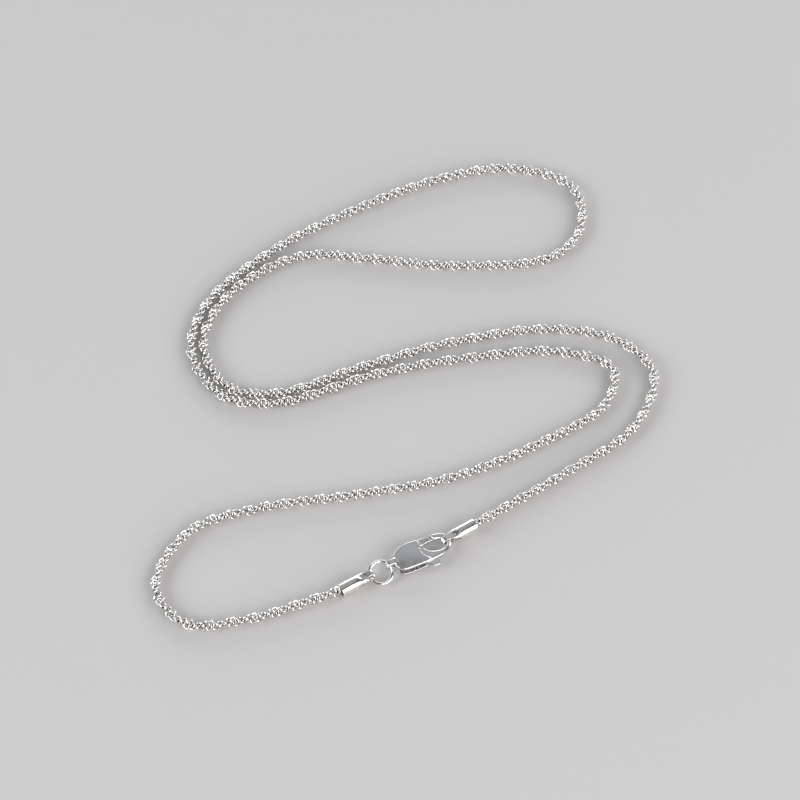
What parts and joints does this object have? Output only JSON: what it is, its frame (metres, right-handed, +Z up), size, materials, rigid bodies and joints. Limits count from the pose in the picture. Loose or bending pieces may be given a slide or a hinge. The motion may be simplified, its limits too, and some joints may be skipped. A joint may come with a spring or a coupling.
{
  "type": "chain necklace",
  "caption": "Fastened rope-chain necklace with folded end caps, a jump ring and a sprung lobster clasp, lying flat in a doubled S.",
  "frame": {"origin": "on the surface the necklace lies on, under the middle of the laid-out outline", "axes": "+Z up from the surface; +Y towards the far loop; +X to the right, with the clasp at the near side"},
  "size_m": [0.0789, 0.0907, 0.0021],
  "materials": {
    "chain": "bright polished silver wire, soldered links",
    "end_cap": "polished silver sheet with light scratches",
    "jump_ring": "bright polished silver wire",
    "clasp": "cast silver, satin plates with bright bevelled edges",
    "pin": "polished silver pin end",
    "spring": "drawn stainless spring wire"
  },
  "bodies": {
    "chain": {"chain_run_01": "chain", "chain_run_02": "chain", "chain_run_03": "chain", "chain_run_04": "chain", "chain_run_05": "chain", "chain_run_06": "chain", "chain_run_07": "chain", "chain_run_08": "chain", "chain_run_09": "chain", "chain_run_10": "chain", "chain_run_11": "chain", "chain_run_12": "chain", "chain_run_13": "chain", "chain_run_14": "chain", "chain_run_15": "chain", "chain_run_16": "chain", "chain_run_17": "chain", "chain_run_18": "chain", "end_link_01": "chain", "end_link_02": "chain", "end_link_03": "chain", "end_link_04": "chain", "end_link_05": "chain", "end_link_06": "chain", "end_link_07": "chain", "end_link_08": "chain", "end_link_09": "chain", "end_link_10": "chain", "end_link_11": "chain", "end_link_12": "chain", "end_link_13": "chain", "end_link_14": "chain", "end_link_15": "chain", "end_link_16": "chain", "right_end_cap": "end_cap", "left_end_cap": "end_cap"},
    "jump_ring": {"jump_ring": "jump_ring"},
    "clasp": {"clasp_body": "clasp", "clasp_pivot_pin": "pin", "clasp_spring": "spring"},
    "trigger": {"clasp_trigger": "clasp"}
  },
  "joints": [
    {"name": "ring_lift", "type": "hinge", "parent": "chain", "child": "jump_ring", "pos_m": [-0.00605, -0.03547, 0.00087], "axis": [0.4837, -0.8752, 0], "range_deg": [0, 12]},
    {"name": "clasp_lift", "type": "hinge", "parent": "jump_ring", "child": "clasp", "pos_m": [-0.00307, -0.03374, 0.00138], "axis": [0.4837, -0.8752, 0], "range_deg": [-17, 0.5]},
    {"name": "trigger_pull", "type": "hinge", "parent": "clasp", "child": "trigger", "pos_m": [0.00117, -0.03155, 0.001], "axis": [0, 0, -1], "range_deg": [0, 25], "stiffness_Nm_per_rad": 0.002, "springref_deg": -17.19, "deforming": ["clasp_spring"]}
  ],
  "couplings": [
    {"joint": "clasp_lift", "follows": "ring_lift", "ratio": -1.3464}
  ]
}
